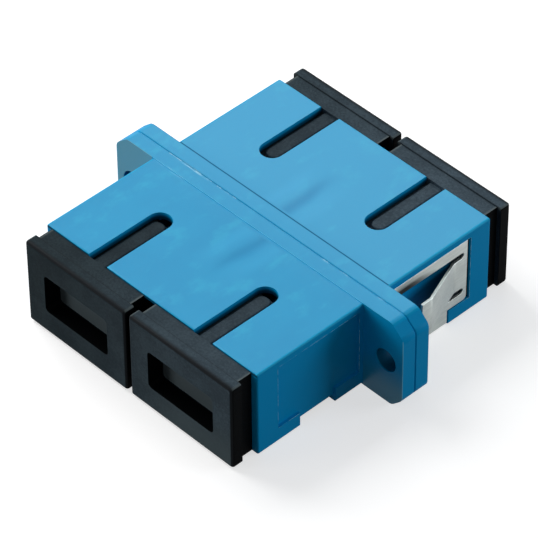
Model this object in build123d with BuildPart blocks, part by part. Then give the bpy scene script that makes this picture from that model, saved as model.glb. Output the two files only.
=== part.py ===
"""Duplex fibre optic adapter with a flange, a sprung mounting clip and four dust caps.

Millimetres. X runs along the flange, Y along the ports (the rear is positive), Z is up. The origin is
the middle of the weld plane, where the fibres meet. Each port looks out along its own end of Y.
"""
from build123d import *
import os

os.makedirs("parts", exist_ok=True)

# Ports and what goes into them
port_pitch = 12.7               # centre to centre of the two ports
port_width = 9.1                # takes a plug 9.0 wide
port_height = 7.5               # takes a plug 7.4 high
port_lead_in = 0.25             # chamfer round each mouth
key_slot_width = 2.25
key_slot_length = 8.1           # from the end face to the top of the round end

# Housing half
side_wall = 1.8                 # beside the outer edge of each port
floor_wall = 0.75               # above and below each port
half_length = 13.5              # weld plane to end face
body_edge_radius = 0.2          # the four long edges
end_edge_radius = 0.15          # round the end face

# Flange
flange_width = 34.6
flange_half_thickness = 1.5
flange_proud = 0.075            # how far it stands above and below the body
flange_top_corner_x = 1.3       # the sloped upper corners
flange_top_corner_z = 1.2
flange_low_corner = 1.2         # the sloped lower corners
flange_corner_blend = 0.9       # rounds where the slopes begin and end
seam_chamfer = 0.09             # at the weld plane
screw_hole_pitch = 30.7
screw_hole_diameter = 2.3

# Seat of the mounting clip, cut in both sides and the underside of each half
seat_depth = 0.3
seat_top = 3.85
seat_bottom = -3.0
seat_near = 1.9                 # from the weld plane
seat_far = 11.2
band_seat_near = 4.6
band_seat_far = 8.7
band_seat_floor_depth = 0.48
band_seat_corner = 0.3         # rounds its lower edges, inside the folds of the clip

# Mounting clip, one folded spring sheet on the rear half
sheet = 0.25
clip_seat_gap = 0.12            # between the sheet's edges and the edges of its seat
clip_end_gap = 0.35             # at the seat's far end
clip_floor_gap = 0.2            # above the band, under the housing
clip_fold_radius = 0.3
clip_outer_corner = 0.4         # rounds the lower corners of its sides
clip_inner_corner = 0.3         # rounds into the band
window_near = 2.8               # from the weld plane
tongue_root = 10.15             # from here on it is one with the side
tongue_fold = 9.3               # where it starts to lean outwards
tongue_bend = 4.9
tongue_tip = 3.8
tongue_rise = 1.7
tongue_low = -1.42
tongue_high = 2.0
tongue_bend_radius = 1.2
relief_slot_width = 0.6

# Alignment sleeve, split along its top
sleeve_bore = 2.5
sleeve_wall = 0.35
sleeve_length = 11.4
sleeve_slit = 0.5
sleeve_end_chamfer = 0.08

# Latch insert, one in each port of each half
insert_thickness = 1.4          # base plate, seated at the weld plane
insert_grip = 0.8               # how far its base reaches into the walls beside the port
insert_clearance = 0.05
sleeve_clearance = 0.1          # all round the sleeve
sleeve_end_clearance = 0.1
holder_wall = 0.6
holder_lip = 0.5                # thickness of the lip that keeps the sleeve in
holder_lip_bore = 2.9           # narrower than the sleeve, wider than its bore
arm_gap = 0.45                  # between the sleeve holder and the latch arms
arm_thickness = 0.6
arm_height = 2.6
arm_reach = 8.8                 # from the weld plane
hook_length = 1.3
hook_depth = 0.4
hook_flat = 0.5

# Dust cap
cap_clearance = 0.1             # plug in port, each side
cap_wall = 0.8
cap_depth = 7.5                 # how far the plug goes into the port
cap_key_width = 1.5
cap_key_depth = 7.35
cap_key_below_top = 0.45        # the key's top lies this far under the top of the body
cap_key_corner = 0.65           # rounds its inner end, seen from above
cap_key_edge = 0.2              # round its top
cap_collar_width = 11.35
cap_collar_below_top = 0.15
cap_collar_thickness = 1.5
cap_plate_width = 12.25
cap_plate_height = 8.9
cap_plate_thickness = 1.15
cap_plate_edge = 0.3
cap_plate_corner = 0.25
cap_plug_corner = 0.3
cap_floor = 1.05                # between the finger pocket and the hollow of the plug
pocket_width = 7.75
pocket_height = 4.0
pocket_depth = 1.7
pocket_corner = 0.4

# Sizes that follow from the ones above
port_centre = port_pitch / 2
body_width = port_pitch + port_width + 2 * side_wall
body_height = port_height + 2 * floor_wall
flange_height = body_height + 2 * flange_proud
insert_pocket_width = port_width + 2 * insert_grip
sleeve_outer = sleeve_bore + 2 * sleeve_wall
holder_bore = sleeve_outer + 2 * sleeve_clearance
holder_outer = holder_bore + 2 * holder_wall
holder_seat = sleeve_length / 2 + sleeve_end_clearance
arm_inner = holder_outer / 2 + arm_gap
key_slot_radius = key_slot_width / 2
key_slot_centre = half_length - key_slot_length + key_slot_radius
clip_outer_x = body_width / 2 - seat_depth + sheet
clip_top = seat_top - clip_seat_gap
clip_bottom = seat_bottom + clip_seat_gap
clip_near = seat_near + clip_seat_gap
clip_far = seat_far - clip_end_gap
band_near = band_seat_near + clip_seat_gap
band_far = band_seat_far - clip_seat_gap
band_floor = -body_height / 2 + band_seat_floor_depth
band_under = band_floor - clip_floor_gap - sheet
relief_radius = relief_slot_width / 2
window_low = tongue_low - relief_slot_width
window_high = tongue_high + relief_slot_width
cap_key_top = body_height / 2 - cap_key_below_top
cap_collar_height = body_height - 2 * cap_collar_below_top
cap_face = half_length + cap_collar_thickness + cap_plate_thickness
cap_plug_width = port_width - 2 * cap_clearance
cap_plug_height = port_height - 2 * cap_clearance
cap_key_end = -half_length + cap_key_depth
cap_hollow_start = cap_face - pocket_depth - cap_floor


def write(piece, name):
    """Labels a finished piece and writes it to its own file."""
    piece.label = name
    export_step(piece, f"parts/{name}.step")


# Housing half, built as the front one: Plane.XZ faces the front, so every extrusion goes to -Y
with BuildPart() as housing:
    with BuildSketch(Plane.XZ):
        Rectangle(body_width, body_height)
    extrude(amount=half_length)
    fillet(housing.edges().filter_by(Axis.Y), radius=body_edge_radius)
    fillet(housing.faces().sort_by(Axis.Y)[0].edges(), radius=end_edge_radius)

    # Flange with sloped corners
    half_width = flange_width / 2
    half_height = flange_height / 2
    with BuildSketch(Plane.XZ) as flange_face:
        with BuildLine():
            Polyline(
                (half_width, half_height - flange_top_corner_z),
                (half_width - flange_top_corner_x, half_height),
                (-half_width + flange_top_corner_x, half_height),
                (-half_width, half_height - flange_top_corner_z),
                (-half_width, -half_height + flange_low_corner),
                (-half_width + flange_low_corner, -half_height),
                (half_width - flange_low_corner, -half_height),
                (half_width, -half_height + flange_low_corner),
                close=True,
            )
        make_face()
        fillet(flange_face.vertices(), radius=flange_corner_blend)
    extrude(amount=flange_half_thickness)
    weld_edges = housing.faces().sort_by(Axis.Y)[-1].outer_wire().edges()
    chamfer(weld_edges, length=seam_chamfer)

    # Screw holes through the flange
    with BuildSketch(Plane.XZ):
        with GridLocations(screw_hole_pitch, 0, 2, 1):
            Circle(screw_hole_diameter / 2)
    extrude(amount=flange_half_thickness, mode=Mode.SUBTRACT)

    # Ports, the seats of the latch inserts and the chamfered mouths
    with BuildSketch(Plane.XZ):
        with GridLocations(port_pitch, 0, 2, 1):
            Rectangle(port_width, port_height)
    extrude(amount=half_length, mode=Mode.SUBTRACT)
    with BuildSketch(Plane.XZ):
        with GridLocations(port_pitch, 0, 2, 1):
            Rectangle(insert_pocket_width, port_height)
    extrude(amount=insert_thickness, mode=Mode.SUBTRACT)
    with BuildSketch(Plane.XZ.offset(half_length)):
        with GridLocations(port_pitch, 0, 2, 1):
            Rectangle(port_width + 2 * port_lead_in, port_height + 2 * port_lead_in)
    extrude(amount=-port_lead_in, taper=45, mode=Mode.SUBTRACT)

    # Key slots through the top wall, open at the end face
    with BuildSketch(Plane.XY):
        with Locations((-port_centre, -key_slot_centre), (port_centre, -key_slot_centre)):
            Circle(key_slot_radius)
            Rectangle(key_slot_width, half_length, align=(Align.CENTER, Align.MAX))
    extrude(amount=body_height, mode=Mode.SUBTRACT)

    # Seat of the mounting clip on both sides, with the path of its band down to the underside
    for side in (-1, 1):
        with BuildSketch(Plane.YZ.offset(side * (body_width / 2 - seat_depth))):
            with Locations((-(seat_near + seat_far) / 2, (seat_top + seat_bottom) / 2)):
                Rectangle(seat_far - seat_near, seat_top - seat_bottom)
            with Locations((-(band_seat_near + band_seat_far) / 2, seat_top)):
                Rectangle(band_seat_far - band_seat_near, 2 * body_height, align=(Align.CENTER, Align.MAX))
        extrude(amount=side * body_width, mode=Mode.SUBTRACT)
    with BuildSketch(Plane.XY.offset(band_floor)):
        with Locations((0, -(band_seat_near + band_seat_far) / 2)):
            Rectangle(2 * body_width, band_seat_far - band_seat_near)
    extrude(amount=-body_height, mode=Mode.SUBTRACT)
    band_edges = housing.edges().filter_by(Axis.Y).filter_by_position(Axis.Z, band_floor, band_floor)
    fillet(band_edges, radius=band_seat_corner)

write(housing.part, "housing_front")
write(housing.part.rotate(Axis.Z, 180), "housing_rear")


# Mounting clip: a sheet folded round the underside of the rear half, cut to its outline in side view
with BuildPart() as clip:
    with BuildSketch(Plane.XZ.offset(-clip_far)):
        with BuildLine():
            FilletPolyline(
                (-clip_outer_x, clip_top),
                (-clip_outer_x, band_under),
                (clip_outer_x, band_under),
                (clip_outer_x, clip_top),
                radius=clip_fold_radius,
            )
            offset(amount=sheet, side=Side.LEFT)
        make_face()
    extrude(amount=clip_far - clip_near)

    with BuildSketch(Plane.YZ) as side_view:
        with Locations(((clip_near + clip_far) / 2, (clip_top + clip_bottom) / 2)):
            Rectangle(clip_far - clip_near, clip_top - clip_bottom)
        with Locations(((band_near + band_far) / 2, clip_bottom)):
            Rectangle(band_far - band_near, body_height, align=(Align.CENTER, Align.MAX))
        low_corners = side_view.vertices().filter_by_position(Axis.Y, clip_bottom, clip_bottom)
        inner_corners = low_corners.filter_by_position(Axis.X, band_near, band_far)
        outer_corners = low_corners.filter_by(lambda corner: corner not in inner_corners)
        fillet(outer_corners, radius=clip_outer_corner)
        low_corners = side_view.vertices().filter_by_position(Axis.Y, clip_bottom, clip_bottom)
        fillet(low_corners.filter_by_position(Axis.X, band_near, band_far), radius=clip_inner_corner)
        window_middle = (window_low + window_high) / 2
        with Locations((window_near, window_middle)):
            Rectangle(tongue_root - window_near, window_high - window_low,
                      align=(Align.MIN, Align.CENTER), mode=Mode.SUBTRACT)
        with Locations((tongue_root, window_low + relief_radius), (tongue_root, window_high - relief_radius)):
            Circle(relief_radius, mode=Mode.SUBTRACT)
    extrude(amount=body_width, both=True, mode=Mode.INTERSECT)

    # Tongues that spring out behind the panel
    with BuildSketch(Plane.XY.offset(tongue_low)):
        with BuildLine():
            FilletPolyline(
                (clip_outer_x, tongue_root + relief_radius),
                (clip_outer_x, tongue_fold),
                (clip_outer_x + tongue_rise, tongue_bend),
                (clip_outer_x + tongue_rise, tongue_tip),
                radius=tongue_bend_radius,
            )
            offset(amount=sheet, side=Side.RIGHT)
        make_face()
        mirror(about=Plane.YZ)
    extrude(amount=tongue_high - tongue_low)

write(clip.part, "mounting_clip")


# Alignment sleeve, a split tube that lies across the weld plane
with BuildPart() as sleeve:
    with BuildSketch(Plane.XZ.offset(-sleeve_length / 2)):
        Circle(sleeve_outer / 2)
        Circle(sleeve_bore / 2, mode=Mode.SUBTRACT)
    extrude(amount=sleeve_length)
    chamfer(sleeve.edges().filter_by(GeomType.CIRCLE), length=sleeve_end_chamfer)
    with BuildSketch(Plane.XY):
        Rectangle(sleeve_slit, 2 * sleeve_length)
    extrude(amount=sleeve_outer, mode=Mode.SUBTRACT)

for hand, side in (("left", -1), ("right", 1)):
    write(sleeve.part.translate((side * port_centre, 0, 0)), f"alignment_sleeve_{hand}")


# Latch insert: base plate, half of the sleeve holder and two hooked arms
with BuildPart() as insert:
    with BuildSketch(Plane.XZ):
        Rectangle(insert_pocket_width - 2 * insert_clearance, port_height - 2 * insert_clearance)
    extrude(amount=insert_thickness)
    with BuildSketch(Plane.XZ):
        Circle(holder_outer / 2)
    extrude(amount=holder_seat + holder_lip)
    with BuildSketch(Plane.XZ):
        Circle(holder_bore / 2)
    extrude(amount=holder_seat, mode=Mode.SUBTRACT)
    with BuildSketch(Plane.XZ):
        Circle(holder_lip_bore / 2)
    extrude(amount=holder_seat + holder_lip, mode=Mode.SUBTRACT)
    arm_outer = arm_inner + arm_thickness
    hook_start = arm_reach - hook_length
    with BuildSketch(Plane.XY.offset(-arm_height / 2)):
        with BuildLine():
            Polyline(
                (arm_outer, 0),
                (arm_outer, -arm_reach),
                (arm_inner + arm_thickness / 2, -arm_reach),
                (arm_inner - hook_depth, -hook_start - hook_flat),
                (arm_inner - hook_depth, -hook_start),
                (arm_inner, -hook_start),
                (arm_inner, 0),
                close=True,
            )
        make_face()
        mirror(about=Plane.YZ)
    extrude(amount=arm_height)


# Dust cap: a plate and collar outside, a hollow plug with a key inside the port
with BuildPart() as cap:
    with BuildSketch(Plane.XZ.offset(cap_face - cap_plate_thickness)):
        RectangleRounded(cap_plate_width, cap_plate_height, cap_plate_corner)
    extrude(amount=cap_plate_thickness)
    fillet(cap.faces().sort_by(Axis.Y)[0].edges(), radius=cap_plate_edge)
    with BuildSketch(Plane.XZ.offset(half_length)):
        Rectangle(cap_collar_width, cap_collar_height)
    extrude(amount=cap_collar_thickness)
    with BuildSketch(Plane.XZ.offset(half_length - cap_depth)):
        RectangleRounded(cap_plug_width, cap_plug_height, cap_plug_corner)
    extrude(amount=cap_depth)
    with BuildSketch(Plane.XZ.offset(half_length - cap_key_depth)):
        Rectangle(cap_key_width, cap_key_top, align=(Align.CENTER, Align.MIN))
    extrude(amount=cap_key_depth)
    key_corners = cap.edges().filter_by(Axis.Z).filter_by_position(Axis.Y, cap_key_end, cap_key_end)
    fillet(key_corners, radius=cap_key_corner)
    top_edges = cap.edges().filter_by_position(Axis.Z, cap_key_top, cap_key_top)
    key_edges = top_edges.filter_by_position(Axis.Y, -half_length, cap_key_end, inclusive=(False, True))
    fillet(key_edges, radius=cap_key_edge)
    with BuildSketch(Plane.XZ.offset(half_length - cap_depth)):
        RectangleRounded(cap_plug_width - 2 * cap_wall, cap_plug_height - 2 * cap_wall, cap_plug_corner)
    extrude(amount=cap_hollow_start - (half_length - cap_depth), mode=Mode.SUBTRACT)
    with BuildSketch(Plane.XZ.offset(cap_face)):
        RectangleRounded(pocket_width, pocket_height, pocket_corner)
    extrude(amount=-pocket_depth, mode=Mode.SUBTRACT)

for hand, side in (("left", -1), ("right", 1)):
    for end, turn in (("front", 0), ("rear", 180)):
        for pattern, base_name in ((insert, "latch_insert"), (cap, "dust_cap")):
            turned = pattern.part.rotate(Axis.Z, turn)
            write(turned.translate((side * port_centre, 0, 0)), f"{base_name}_{end}_{hand}")
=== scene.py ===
"""Looks of a duplex fibre optic adapter with four dust caps, lying on a pale table.

Metres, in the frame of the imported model: X runs along the flange, Y along the ports, Z is up. Each solid
is shown by a copy of itself with softened edges and a moulded, rolled or sintered finish. What is too
fine for a solid, such as the flash of the weld, is added here.
"""

import logging
import math
from dataclasses import dataclass
from enum import Enum
from typing import Optional, Sequence, Union

import bmesh
import bpy
from mathutils import Matrix, Vector


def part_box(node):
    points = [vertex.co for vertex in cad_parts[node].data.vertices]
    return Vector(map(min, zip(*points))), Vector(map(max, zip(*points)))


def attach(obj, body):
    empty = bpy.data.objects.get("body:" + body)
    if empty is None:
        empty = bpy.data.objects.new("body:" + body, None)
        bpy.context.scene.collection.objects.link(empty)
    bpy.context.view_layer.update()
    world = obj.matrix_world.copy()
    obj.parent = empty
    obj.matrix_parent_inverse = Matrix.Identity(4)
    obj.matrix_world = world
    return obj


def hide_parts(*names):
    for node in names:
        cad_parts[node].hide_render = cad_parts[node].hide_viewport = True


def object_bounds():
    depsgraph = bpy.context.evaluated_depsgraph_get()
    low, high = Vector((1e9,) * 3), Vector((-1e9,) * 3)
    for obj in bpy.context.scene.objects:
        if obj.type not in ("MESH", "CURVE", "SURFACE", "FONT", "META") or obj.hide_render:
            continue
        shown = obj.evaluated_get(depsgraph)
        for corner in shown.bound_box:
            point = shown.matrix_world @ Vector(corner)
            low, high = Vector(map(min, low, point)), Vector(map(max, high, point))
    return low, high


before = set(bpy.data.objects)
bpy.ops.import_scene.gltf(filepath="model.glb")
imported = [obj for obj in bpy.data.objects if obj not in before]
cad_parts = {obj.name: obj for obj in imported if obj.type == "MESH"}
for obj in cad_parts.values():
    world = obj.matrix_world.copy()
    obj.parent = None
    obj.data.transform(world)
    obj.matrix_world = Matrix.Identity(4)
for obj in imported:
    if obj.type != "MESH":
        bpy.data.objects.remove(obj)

LOG = logging.getLogger("adapter")
CAD_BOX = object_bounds()
# A millimetre in metres, and how far a shade runs past the wall that it belongs to, in millimetres
MM = 0.001
HAIR = 0.03
WHITE = (1.0, 1.0, 1.0, 1.0)
# The level that Blender's noise swings about
MIDDLE = 0.5
# Where the Mix node keeps its colour sockets, whose names its other sockets have too
FACTOR, FIRST, SECOND, RESULT = 0, 6, 7, 2


def reach(node: str, axis: str) -> float:
    """How far a CAD node reaches out along an axis, in millimetres."""
    return round(getattr(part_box(node)[1], axis) / MM, 3)


class Side(Enum):
    """A side of the adapter, whose value is its sign along an axis."""

    @property
    def word(self) -> str:
        """The name that the nodes use."""
        return self.name.lower()


class Hand(Side):
    """Which port, seen from the front."""

    LEFT = -1
    RIGHT = 1


class End(Side):
    """Which end of the adapter."""

    FRONT = -1
    REAR = 1


class Body(Enum):
    """The rigid bodies that pieces ride on."""

    ADAPTER = "adapter"

    @staticmethod
    def cap(end: End, hand: Hand) -> str:
        """The body of one dust cap."""
        return f"cap_{end.word}_{hand.word}"


class Signal:
    """A number that flows through a node tree, with Python's operators.

    Args:
        tree: The builder that owns the nodes.
        socket: The output socket that carries the number.
    """

    def __init__(self, tree: "Tree", socket: bpy.types.NodeSocket) -> None:
        """Wraps one output socket."""
        self.tree = tree
        self.socket = socket

    def _math(self, operation: str, *terms: "Number") -> "Signal":
        """Adds one Math node to the tree."""
        return self.tree.number("ShaderNodeMath", dict(enumerate(terms)), {"operation": operation})

    def __add__(self, other: "Number") -> "Signal":
        """Sum."""
        return self._math("ADD", self, other)

    def __sub__(self, other: "Number") -> "Signal":
        """Difference."""
        return self._math("SUBTRACT", self, other)

    def __rsub__(self, other: "Number") -> "Signal":
        """Difference from a plain number."""
        return self._math("SUBTRACT", other, self)

    def __mul__(self, other: "Number") -> "Signal":
        """Product."""
        return self._math("MULTIPLY", self, other)

    def __pow__(self, other: "Number") -> "Signal":
        """Power."""
        return self._math("POWER", self, other)

    __radd__ = __add__
    __rmul__ = __mul__

    def absolute(self) -> "Signal":
        """Its size without its sign."""
        return self._math("ABSOLUTE", self)

    def largest(self, other: "Number") -> "Signal":
        """The larger of two numbers."""
        return self._math("MAXIMUM", self, other)

    def smallest(self, other: "Number") -> "Signal":
        """The smaller of two numbers."""
        return self._math("MINIMUM", self, other)

    def step(self, low: float, high: float) -> "Signal":
        """A smooth step from 0 at low to 1 at high; it falls where low is the larger one.

        Args:
            low: The number that gives 0.
            high: The number that gives 1.

        Returns:
            The step as a number from 0 to 1.
        """
        inputs = {"Value": self, "From Min": low, "From Max": high}
        return self.tree.number("ShaderNodeMapRange", inputs, {"interpolation_type": "SMOOTHSTEP"})

    def past(self, level: float, gone: float, full: float) -> "Signal":
        """A smooth step near a level: 0 at the first distance past it, and 1 at the second one."""
        return self.step(level + gone, level + full)

    def upto(self, level: float) -> "Signal":
        """1 up to a level and a hair past it."""
        return self.past(level, 2 * HAIR, HAIR)

    def beyond(self, level: float) -> "Signal":
        """1 from a hair before a level on."""
        return self.past(level, -2 * HAIR, -HAIR)

    def near(self, level: float, gone: float = 2 * HAIR, full: float = HAIR) -> "Signal":
        """1 close to a level, and 0 from a distance to each side of it."""
        return (self - level).absolute().step(gone, full)

    def bell(self, centre: float, width: float) -> "Signal":
        """A soft hump of height 1 at centre that is gone at width to each side."""
        return self.near(centre, width, 0.0)


Number = Union[Signal, float, int]
Value = Union[Signal, bpy.types.NodeSocket, float, int, bool, Sequence[float]]


class Tree:
    """Builds a node tree, for a material or for Geometry Nodes.

    Args:
        nodes: The tree that gets the nodes.
    """

    def __init__(self, nodes: bpy.types.NodeTree) -> None:
        """Keeps the tree."""
        self.nodes = nodes

    def node(self, kind: str, inputs: Optional[dict] = None,
             settings: Optional[dict] = None) -> bpy.types.Node:
        """Adds one node.

        Args:
            kind: Blender's name for the node's type.
            inputs: Socket names or numbers, with a value or a link for each.
            settings: The node's own options, which are set first.

        Returns:
            The new node.
        """
        made = self.nodes.nodes.new(kind)
        for name, option in (settings or {}).items():
            setattr(made, name, option)
        for key, value in (inputs or {}).items():
            self.feed(made.inputs[key], value)
        return made

    def feed(self, socket: bpy.types.NodeSocket, value: Value) -> None:
        """Links a socket to another one, or sets its constant."""
        if isinstance(value, Signal):
            self.nodes.links.new(value.socket, socket)
        elif isinstance(value, bpy.types.NodeSocket):
            self.nodes.links.new(value, socket)
        else:
            socket.default_value = value

    def output(self, kind: str, inputs: Optional[dict] = None, settings: Optional[dict] = None,
               name: Union[str, int] = 0) -> bpy.types.NodeSocket:
        """Adds one node and returns one of its outputs, the first one unless it is named."""
        return self.node(kind, inputs, settings).outputs[name]

    def number(self, kind: str, inputs: Optional[dict] = None, settings: Optional[dict] = None) -> Signal:
        """Adds one node and wraps its first output as a number."""
        return Signal(self, self.output(kind, inputs, settings))


@dataclass(frozen=True)
class Pattern:
    """Cloudy noise about 0.5 that stays with the object.

    Args:
        per_mm: How many blobs fit in a millimetre.
        detail: How many finer octaves it has.
        rough: How strong the finer octaves are.
        stretch: What each axis is multiplied by, if it runs along the axis with the least.
    """

    per_mm: float
    detail: float = 2.0
    rough: float = 0.5
    stretch: Optional[tuple] = None


class Shader(Tree):
    """Builds one procedural material on Object coordinates, measured in millimetres.

    x, y and z are a place's coordinates, and far_x, far_y and far_z its distances from the middle.

    Args:
        name: The material's name.
    """

    def __init__(self, name: str) -> None:
        """Makes the material with its shader and output."""
        self.material = bpy.data.materials.new(name)
        self.material.use_nodes = True
        self.material.node_tree.nodes.clear()
        super().__init__(self.material.node_tree)
        self.out = self.node("ShaderNodeOutputMaterial")
        self.bsdf = self.node("ShaderNodeBsdfPrincipled")
        self.feed(self.out.inputs["Surface"], self.bsdf.outputs["BSDF"])
        metres = self.output("ShaderNodeTexCoord", name="Object")
        self.place = self.output("ShaderNodeVectorMath", {0: metres, "Scale": 1 / MM}, {"operation": "SCALE"})
        split = self.node("ShaderNodeSeparateXYZ", {0: self.place})
        self.x, self.y, self.z = (Signal(self, split.outputs[axis]) for axis in "XYZ")
        self.far_x, self.far_y, self.far_z = (axis.absolute() for axis in (self.x, self.y, self.z))

    def noise(self, pattern: Pattern) -> Signal:
        """A pattern as a number."""
        place = self.place
        if pattern.stretch:
            place = self.output("ShaderNodeVectorMath", {0: self.place, 1: pattern.stretch},
                                {"operation": "MULTIPLY"})
        inputs = {"Vector": place, "Scale": pattern.per_mm, "Detail": pattern.detail,
                  "Roughness": pattern.rough}
        return self.number("ShaderNodeTexNoise", inputs)

    def blend(self, *parts: tuple[Pattern, float]) -> Signal:
        """The sum of some patterns, each with its share."""
        total = 0.0
        for pattern, share in parts:
            total = self.noise(pattern) * share + total
        return total

    def uneven(self, level: float, *parts: tuple[Pattern, float]) -> Signal:
        """A level that patterns raise and lower, each over its own spread."""
        total = level
        for pattern, spread in parts:
            total = (self.noise(pattern) - MIDDLE) * spread + total
        return total

    def mixed(self, share: Number, first: Value, second: Value) -> bpy.types.NodeSocket:
        """A colour between two colours."""
        return self.output("ShaderNodeMix", {FACTOR: share, FIRST: first, SECOND: second},
                           {"data_type": "RGBA"}, RESULT)

    def painted(self, colour: Value, *layers: tuple[Number, Value]) -> Value:
        """A colour with others laid over it in turn, each by its share."""
        for share, layer in layers:
            colour = self.mixed(share, colour, layer)
        return colour

    def bump(self, height: Number, depth: float,
             normal: Optional[bpy.types.NodeSocket] = None) -> bpy.types.NodeSocket:
        """A normal that is bent by a height.

        Args:
            height: The height, from 0 to 1.
            depth: How far 1 stands above 0, in millimetres.
            normal: Another bump's normal to start from.

        Returns:
            The normal's socket.
        """
        inputs = {"Height": height, "Distance": depth * MM}
        if normal is not None:
            inputs["Normal"] = normal
        return self.output("ShaderNodeBump", inputs)

    def finish(self, **inputs: Value) -> bpy.types.Material:
        """Sets the shader's sockets, with underscores for spaces, and returns the material."""
        for name, value in inputs.items():
            self.feed(self.bsdf.inputs[name.replace("_", " ")], value)
        return self.material


def srgb(red: int, green: int, blue: int) -> tuple[float, float, float, float]:
    """A colour as the eye reads it, 0 to 255 a channel, as a linear one."""
    def linear(level: float) -> float:
        """One channel."""
        return level / 12.92 if level <= 0.04045 else ((level + 0.055) / 1.055) ** 2.4
    return linear(red / 255), linear(green / 255), linear(blue / 255), 1.0


@dataclass(frozen=True)
class Sizes:
    """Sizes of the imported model, in millimetres from its middle, that finishes and flash are laid out by.

    Args:
        port_x: A port's axis.
        side_x, end_y, top_z: The body's side, end and top.
        flat_x: Where the flat top ends and a rounded long edge starts.
        flange_x, flange_y, weld_y: The flange's end, its faces, and the weld's groove between them.
        seat_x, seat_top: The floor of the clip's seat, and the seat's upper edge.
        slot_half, slot_end: Half the width of a key slot, and where its round end is along Y.
        core_half, core_depth: Half the width and height of the hollow between the ports, and its depth.
        screw_x, screw_radius: The axis and radius of a screw hole.
        cap_y, plate_y, pocket_y: The face of a cap's plate, its back, and the floor of its finger pocket.
        plate_half, collar_half: Half the width of a cap's plate and of the collar behind it.
        pocket_half: Half the width and height of the finger pocket.
    """

    port_x: float = 6.35
    side_x: float = 12.7
    end_y: float = reach("housing_rear", "y")
    top_z: float = 4.5
    flat_x: float = 12.5
    flange_x: float = reach("housing_rear", "x")
    flange_y: float = 1.5
    weld_y: float = -0.07
    seat_x: float = 12.4
    seat_top: float = 3.85
    slot_half: float = 1.125
    slot_end: float = 5.4
    core_half: tuple = (0.95, 4.2)
    core_depth: float = 5.0
    screw_x: float = 15.35
    screw_radius: float = 1.15
    cap_y: float = reach("dust_cap_rear_left", "y")
    plate_y: float = 15.0
    pocket_y: float = 14.45
    plate_half: float = 6.125
    collar_half: float = 5.675
    pocket_half: tuple = (3.875, 2.0)


SIZES = Sizes()


def from_port(shader: Shader) -> Signal:
    """How far each place is from its port's axis, along X."""
    return (shader.far_x - SIZES.port_x).absolute()


@dataclass(frozen=True)
class MouldedTop:
    """The colours of the moulding's top: its clouds, the sink marks over the wall between the ports with
    painted shade in them and painted highlight stripes beside them, and a painted sheen on the rear half.

    A mark is a stripe along Y: where it is along X, how far it reaches to each side, and how strong it is.
    Here and in the finishes below, a pair of places or levels says where a shade is gone and is full.
    """

    colour: tuple = srgb(14, 149, 197)
    deep_colour: tuple = srgb(10, 144, 193)
    # Painted sheen: the rear half is painted lighter
    rear_sheen_colour: tuple = srgb(20, 152, 199)
    blotch_colour: tuple = srgb(34, 164, 204)
    # Painted shade in the sink marks
    sink_shade_colour: tuple = srgb(4, 132, 182)
    # Painted highlight stripes beside the sink marks
    highlight_stripe_colour: tuple = srgb(30, 156, 204)
    clouds: tuple = ((Pattern(0.16, 3.0, 0.55), 0.7), (Pattern(0.5, stretch=(1.0, 0.25, 1.0)), 0.3))
    cloud_levels: tuple = (0.38, 0.66)
    rear_sheen_y: tuple = (-2.0, 3.0)
    rear_sheen_share: float = 0.8
    blotches: Pattern = Pattern(0.42, 4.0, 0.6, (1.0, 0.6, 1.0))
    blotch_levels: tuple = (0.52, 0.7)
    blotch_share: float = 0.6
    sink: tuple = (1.35, 0.95, 0.85)
    # Where the painted highlight stripes run
    highlight_stripes: tuple = ((-0.6, 1.3, 0.8), (3.0, 1.3, 0.7))
    drift: tuple = (Pattern(0.2, 1.0), 1.5)
    shift_y: tuple = (-1.0, 1.0)
    rear_shift: float = 1.2
    near_flange: tuple = (1.6, 2.0)
    near_end: tuple = (9.0, 4.5)

    def shades(self, shader: Shader) -> bpy.types.NodeSocket:
        """The colour of each place."""
        clouds = shader.blend(*self.clouds).step(*self.cloud_levels)
        blotches = shader.noise(self.blotches).step(*self.blotch_levels)
        return shader.painted(
            self.deep_colour,
            (clouds, self.colour),
            # Painted sheen on the rear half
            (shader.y.step(*self.rear_sheen_y) * self.rear_sheen_share, self.rear_sheen_colour),
            (blotches * self.blotch_share, self.blotch_colour),
            # Painted highlight stripes, then painted shade in the sink marks
            *((self.stripe(shader, *highlight), self.highlight_stripe_colour) for highlight in self.highlight_stripes),
            (self.sunk(shader), self.sink_shade_colour))

    def sunk(self, shader: Shader) -> Signal:
        """How deep each place has sunk."""
        return self.stripe(shader, *self.sink)

    def stripe(self, shader: Shader, centre: float, half: float, strength: float) -> Signal:
        """A soft stripe along Y that wanders a little, from the flange towards the end of the body."""
        drift = shader.uneven(0.0, self.drift) + shader.y.step(*self.shift_y) * self.rear_shift
        along = shader.far_y.step(*self.near_flange) * shader.far_y.step(*self.near_end)
        return (shader.x + drift).bell(centre, half) * strength * along


@dataclass(frozen=True)
class Scuffs:
    """Pale scuffs on the weld and on the flange's front edge.

    A stretch is where it is along X, half its length, and how pale it is.
    """

    colour: tuple = srgb(150, 208, 228)
    half_width: tuple = (0.2, 0.05)
    on_weld: tuple = ((-9.0, 2.7, 0.95), (-5.2, 1.6, 0.12), (6.9, 0.6, 0.4), (9.2, 0.9, 0.3),
                      (13.2, 0.7, 0.3))
    on_edge: tuple = ((-10.4, 2.4, 0.35),)
    streaks: Pattern = Pattern(1.4, 3.0, 0.6, (0.8, 6.0, 1.0))
    streak_levels: tuple = (0.42, 0.6)

    def share(self, shader: Shader) -> Signal:
        """How scuffed each place is."""
        paleness = 0.0
        for y, stretches in ((SIZES.weld_y, self.on_weld), (-SIZES.flange_y, self.on_edge)):
            line = shader.y.near(y, *self.half_width)
            for centre, half, pale in stretches:
                paleness = line * shader.x.bell(centre, half) * pale + paleness
        return paleness * shader.noise(self.streaks).step(*self.streak_levels)


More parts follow.
